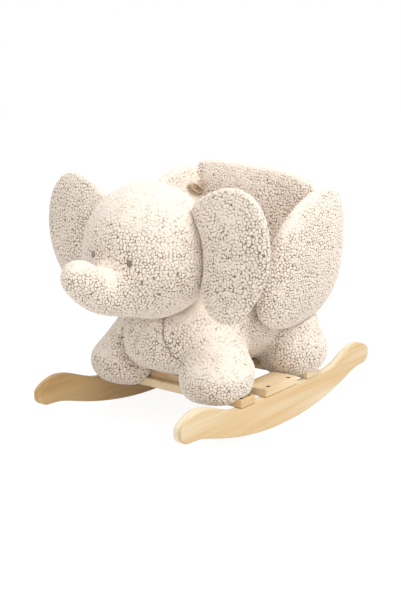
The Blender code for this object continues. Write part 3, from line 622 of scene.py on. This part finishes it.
outward = {name: normals_of(piece.data) for name, piece in pieces.items()}
for piece in pieces.values():
    cloth = piece.modifiers.new("stuffing", "CLOTH")
    cloth.settings.quality = CLOTH_QUALITY
    cloth.settings.use_pressure = True
    cloth.settings.uniform_pressure_force = PRESSURE
    cloth.settings.effector_weights.gravity = 0
    cloth.point_cache.frame_start = 1
    cloth.point_cache.frame_end = STUFFING_FRAMES
for number in range(1, STUFFING_FRAMES + 1):
    scene.frame_set(number)
for piece in pieces.values():
    settle(piece)
scene.frame_set(1)
for name, piece in pieces.items():
    moved = points_of(piece.data) - rest[name]
    normal = outward[name]
    out = np.einsum("ij,ij->i", moved, normal)
    sideways = moved - normal * out[:, None]
    out = np.clip(out - out.mean(), -SINK_CAP, SWELL_CAP)
    out = relax(out[:, None], edges_of(piece.data), np.ones(len(out)), WRINKLE_ROUNDS)[:, 0]
    out = np.minimum(out, rooms[name])
    length = np.linalg.norm(sideways, axis=1, keepdims=True)
    sideways *= np.minimum(1, SINK_CAP / np.maximum(length, 1e-9))
    piece.data.vertices.foreach_set("co", (rest[name] + sideways + normal * out[:, None]).ravel())
    keep_values(piece.data, "spare", rooms[name] - out)
    print(name, "swells by up to", round(out.max() / MM, 1), "mm")

# %% [markdown]
# ## Nubs
# Points of the skin, picked at random but never closer than one nub, are the middles of
# the nubs. The nearest and second nearest middle are found for every place on the fleece.
# Where the two are equally far there is a thin gap between two nubs. The places are first
# bent by a smooth noise, so the nubs turn into curls. The gaps are made shallower and paler
# on top than on the sides and underneath: painted light, for the light from above that
# fills the gaps on top.

# %% Nub pattern
NUB_SIZE = 4.1 * MM
NUB_HEIGHT = 2.3 * MM
GAP_WIDTH = 1.6 * MM
GAP_SHARE = 0.78
DOME_SHARE = 0.3
UNEVEN_SHARE = 0.10
SIDE_DEPTH = 0.88
TOP_LIGHT_FILL = 0.85
LEAST_DEPTH = 0.2


def scatter(cells, seed):
    """Three even random numbers from 0 to 1 for each whole-numbered cell."""
    x, y, z = cells.T
    mixed = (x * 73856093) ^ (y * 19349663) ^ (z * 83492791) ^ (seed * 2654435761)
    found = []
    for _ in range(3):
        mixed = (mixed * 1103515245 + 12345) & 0x7FFFFFFF
        mixed = mixed ^ (mixed >> 13)
        found.append((mixed & 0xFFFF) / 65536.0)
    return np.stack(found, axis=1)


def smooth_noise(places, size, seed):
    """Three smooth random numbers from -1 to 1 at each place."""
    scaled = places / size
    corner = np.floor(scaled).astype(np.int64)
    part = scaled - corner
    part = part * part * (3 - 2 * part)
    total = np.zeros_like(places)
    for step in np.ndindex(2, 2, 2):
        share = np.prod(np.where(np.array(step) == 1, part, 1 - part), axis=1)
        total += share[:, None] * (scatter(corner + step, seed) * 2 - 1)
    return total


def tree_on(points):
    """Points sorted by place."""
    tree = KDTree(len(points))
    for number, point in enumerate(points):
        tree.insert(point, number)
    tree.balance()
    return tree


def nub_middles(points, seed):
    """Picks points at random that are at least one nub apart."""
    tree = tree_on(points)
    free = np.ones(len(points), bool)
    picked = []
    for number in np.random.default_rng(seed).permutation(len(points)):
        if free[number]:
            picked.append(number)
            free[[hit[1] for hit in tree.find_range(points[number], NUB_SIZE)]] = False
    return points[picked]


def nub_height(places, upward, middles, seed):
    """Height of the pile, from 0 in a gap to 1 on a nub."""
    bent = places + smooth_noise(places, NUB_SIZE * 0.9, seed) * NUB_SIZE * 0.5
    tree = tree_on(middles)
    found = np.array([[hit[2] for hit in tree.find_n(place, 2)] for place in bent])
    noise = smooth_noise(places, NUB_SIZE * 2.2, seed + 2)
    # painted light: gaps on upward faces are made shallower and paler, as light from above fills them
    depth = SIDE_DEPTH - np.maximum(upward, 0) * TOP_LIGHT_FILL + noise[:, 0] * 0.3
    depth = np.clip(depth, LEAST_DEPTH, 1)
    edge = np.clip((found[:, 1] - found[:, 0]) / GAP_WIDTH, 0, 1)
    gap = (1 - edge * edge * (3 - 2 * edge)) * depth
    dome = np.clip(found[:, 0] / NUB_SIZE, 0, 1) ** 2
    uneven = noise[:, 1] * 0.5 + 0.5
    return 1 - gap * GAP_SHARE - dome * DOME_SHARE - uneven * UNEVEN_SHARE


# %% [markdown]
# ## Creases of the chest
# The left side panel, which forms the front leg, is sewn to the chest along a curved seam
# that starts under the chin and runs out to the foot. On the right side the belly hangs over
# the leg, so there is a fold with a steep side at the belly. Both are pressed into the
# skin along a line, given by its height and its place across the toy. The pile is also
# painted darker along both lines: painted shade in the seam and under the overhanging belly.

# %% Creases of the chest
SEAM_HEIGHTS = np.array((106, 112, 116, 127, 141, 161, 198, 240)) * MM
SEAM_ACROSS = np.array((86, 72, 67, 53, 43, 32, 26, 23)) * MM
SEAM_WIDTHS = (2.8 * MM, 1.8 * MM)
SEAM_DEPTH = 2.2 * MM
FOLD_HEIGHTS = np.array((86, 93, 105, 120, 134, 152, 173, 190)) * MM
FOLD_ACROSS = np.array((-34, -41, -50, -62, -68, -70, -62, -52)) * MM
FOLD_WIDTHS = (1.5 * MM, 9.0 * MM)
FOLD_DEPTH = 4.5 * MM
CREASE_BEHIND_FRONT = -70 * MM
CREASE_FADE = 9 * MM
WAVE_SIZE = 9 * MM
WAVE_HEIGHT = 1.6 * MM


def crease(places, heights, across, widths):
    """1 along a line on the chest and 0 away from it, with a width on either side."""
    wavy = places[:, 0] + smooth_noise(places, WAVE_SIZE, 5)[:, 0] * WAVE_HEIGHT
    away = wavy - np.interp(places[:, 2], heights, across)
    pressed = np.exp(-((away / np.where(away > 0, *widths)) ** 2))
    ends = np.minimum(places[:, 2] - heights[0], heights[-1] - places[:, 2]) / CREASE_FADE
    return pressed * np.clip(ends, 0, 1) * (places[:, 1] < CREASE_BEHIND_FRONT)


print("creases on the chest from", SEAM_HEIGHTS[0], "to", SEAM_HEIGHTS[-1], "m up")

# %% [markdown]
# ## Pile
# The net is divided finely, its creases are pressed in, and its points are lifted by the
# height of the pile. Then the skin of each CAD solid is cut off along the sewn border and
# closed, so that every piece of the toy stays a piece of its own.

# %% Pile and cutting apart
PILE_SEED = 11
MEAN_PILE = 0.5


def brush(name):
    """Subdivides the skin, presses its seams in and raises its nubs."""
    piece = pieces[name]
    finer = piece.modifiers.new("finer", "SUBSURF")
    finer.levels = finer.render_levels = 2
    settle(piece)
    places = points_of(piece.data)
    middles = nub_middles(places[::3], PILE_SEED)
    height = nub_height(places, normals_of(piece.data)[:, 2], middles, PILE_SEED)
    lift = np.minimum((height - MEAN_PILE) * NUB_HEIGHT, values_of(piece.data, "spare"))
    if name == "plush_body":
        seam = crease(places, SEAM_HEIGHTS, SEAM_ACROSS, SEAM_WIDTHS)
        fold = crease(places, FOLD_HEIGHTS, FOLD_ACROSS, FOLD_WIDTHS)
        lift -= seam * SEAM_DEPTH + fold * FOLD_DEPTH
        # painted shade: the pile is darkened along the seam and the fold
        height = height * (1 - 0.55 * seam) * (1 - 0.35 * fold)
    places += normals_of(piece.data) * lift[:, None]
    piece.data.vertices.foreach_set("co", places.ravel())
    keep_values(piece.data, "nap", height)
    piece.data.attributes.remove(piece.data.attributes["spare"])
    piece.data.materials.clear()
    piece.data.materials.append(cream_fleece)
    piece.data.shade_smooth()


def split_off(piece, node):
    """Cuts the skin of one CAD solid off a piece along the sewn border, and closes both."""
    share = values_of(piece.data, "of_" + node)
    corners = [list(face.vertices) for face in piece.data.polygons]
    inside = np.array([share[face].mean() > 0.5 for face in corners])
    made = bpy.data.objects.new("plush_" + node, piece.data.copy())
    made.data.name = made.name
    scene.collection.objects.link(made)
    for target, unwanted in ((made, ~inside), (piece, inside)):
        work = bmesh.new()
        work.from_mesh(target.data)
        work.faces.ensure_lookup_table()
        extra = [work.faces[i] for i in np.flatnonzero(unwanted)]
        bmesh.ops.delete(work, geom=extra, context="FACES")
        rims = [edge for edge in work.edges if edge.is_boundary]
        bmesh.ops.holes_fill(work, edges=rims, sides=0)
        work.to_mesh(target.data)
        work.free()
    return made


def finish_plush(piece, name, replaced):
    """Hangs a piece on the body it rides on and hides the CAD solids it stands for."""
    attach(piece, BODY_OF.get(name, "toy"))
    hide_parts(*replaced)
    print(piece.name, len(piece.data.polygons) * 2, "triangles")


for name, members in GROUPS.items():
    brush(name)
    base, *others = members
    for node in others:
        finish_plush(split_off(pieces[name], node), name, [node])
    finish_plush(pieces[name], name, [base])

# %% [markdown]
# ## Eyes and strap
# The eyes are padded stitching in warm grey thread. The right one is paler, because pile
# covers it a little. The loop is tan cotton webbing.

# %% Eye and strap materials
def stitching(name, dark, pale):
    thread = Paint(name, 0.75, Sheen_Weight=0.2)
    here = thread.place((1, 1, 1))
    twist = thread.node("TexWave", {"bands_direction": "Z"}, "Fac", Vector=here, Scale=900.0)
    thread.set("Base Color", thread.mix(twist, dark, pale))
    thread.bump(twist, 0.0003)
    return thread.material


finish(["eye_left"], stitching("grey_stitching", (0.22, 0.19, 0.16), (0.40, 0.36, 0.31)))
finish(["eye_right"], stitching("pale_stitching", (0.42, 0.35, 0.28), (0.56, 0.48, 0.40)))

webbing = Paint("tan_strap", 0.75)
weave = webbing.node("TexChecker", {}, "Fac", Vector=webbing.place((1, 1, 1)), Scale=900.0)
webbing.set("Base Color", webbing.mix(weave * 0.4, (0.74, 0.58, 0.40), (0.52, 0.37, 0.22)))
webbing.bump(weave, 0.0003)
finish(["strap_loop"], webbing.material)

# %% [markdown]
# ## Last step
# The boxes of the CAD model and of the dressed toy are measured, and the size of the dressed
# toy is printed.

# %% Sizes and finish
boxes = [[list(corner) for corner in box] for box in (cad_box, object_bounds())]
print("size", [round(high - low, 4) for low, high in zip(*boxes[1])])
